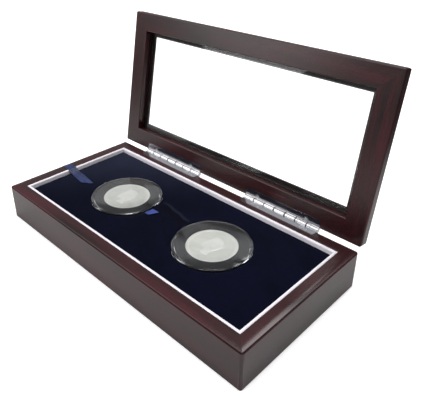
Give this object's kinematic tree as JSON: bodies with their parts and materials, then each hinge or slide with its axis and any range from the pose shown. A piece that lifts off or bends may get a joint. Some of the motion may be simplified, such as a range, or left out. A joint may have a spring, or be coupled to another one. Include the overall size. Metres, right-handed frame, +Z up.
{
  "type": "coin display case",
  "caption": "Lacquered wooden presentation case with a hinged glazed lid, a navy velvet insert and encapsulated coins in round wells.",
  "frame": {"origin": "centre of the underside, on the surface that the case stands on", "axes": "+X along the front to the right, +Y from the front to the hinges at the back, +Z up"},
  "size_m": [0.208, 0.1275, 0.1249],
  "materials": {
    "lacquered_wood": "satin dark mahogany lacquer",
    "panel_board": "plain board",
    "base_felt": "dark felt",
    "white_velvet": "short-pile white velvet over card",
    "insert_board": "plain board",
    "navy_velvet": "short-pile navy velvet",
    "blue_ribbon": "satin ribbon",
    "polished_nickel": "polished nickel plate",
    "black_foam": "matte foam",
    "coin_silver": "satin struck silver-coloured metal",
    "clear_acrylic": "clear polished acrylic",
    "window_glass": "clear float glass",
    "glazing_tape": "thin double-sided tape"
  },
  "bodies": {
    "base": {"front_wall": "lacquered_wood", "rear_wall": "lacquered_wood", "left_wall": "lacquered_wood", "right_wall": "lacquered_wood", "bottom_panel": "panel_board", "base_felt": "base_felt", "front_lining": "white_velvet", "rear_lining": "white_velvet", "left_lining": "white_velvet", "right_lining": "white_velvet", "insert_core": "insert_board", "velvet_cover": "navy_velvet", "insert_ribbon": "blue_ribbon", "capsule_ribbon": "blue_ribbon", "left_hinge_base_leaf": "polished_nickel", "right_hinge_base_leaf": "polished_nickel", "left_hinge_pin": "polished_nickel", "right_hinge_pin": "polished_nickel", "base_leaf_screws": "polished_nickel"},
    "lid": {"lid_front_rail": "lacquered_wood", "lid_rear_rail": "lacquered_wood", "lid_left_rail": "lacquered_wood", "lid_right_rail": "lacquered_wood", "lid_glass": "window_glass", "glazing_tape": "glazing_tape", "left_hinge_lid_leaf": "polished_nickel", "right_hinge_lid_leaf": "polished_nickel", "lid_leaf_screws": "polished_nickel"},
    "left_capsule": {"left_capsule_base": "clear_acrylic", "left_capsule_ring": "black_foam", "left_coin": "coin_silver"},
    "left_cover": {"left_capsule_cover": "clear_acrylic"},
    "right_capsule": {"right_capsule_base": "clear_acrylic", "right_capsule_ring": "black_foam", "right_coin": "coin_silver"},
    "right_cover": {"right_capsule_cover": "clear_acrylic"}
  },
  "joints": [
    {"name": "lid_hinge", "type": "hinge", "parent": "base", "child": "lid", "pos_m": [0, 0.0515, 0.0246], "axis": [1, 0, 0], "range_deg": [0, 100]},
    {"name": "left_capsule_lift", "type": "slide", "parent": "base", "child": "left_capsule", "axis": [0, 0, 1], "range_m": [0, 0.0054]},
    {"name": "left_cover_lift", "type": "slide", "parent": "left_capsule", "child": "left_cover", "axis": [0, 0, 1], "range_m": [0, 0.0015]},
    {"name": "right_capsule_lift", "type": "slide", "parent": "base", "child": "right_capsule", "axis": [0, 0, 1], "range_m": [0, 0.0054]},
    {"name": "right_cover_lift", "type": "slide", "parent": "right_capsule", "child": "right_cover", "axis": [0, 0, 1], "range_m": [0, 0.0015]}
  ]
}
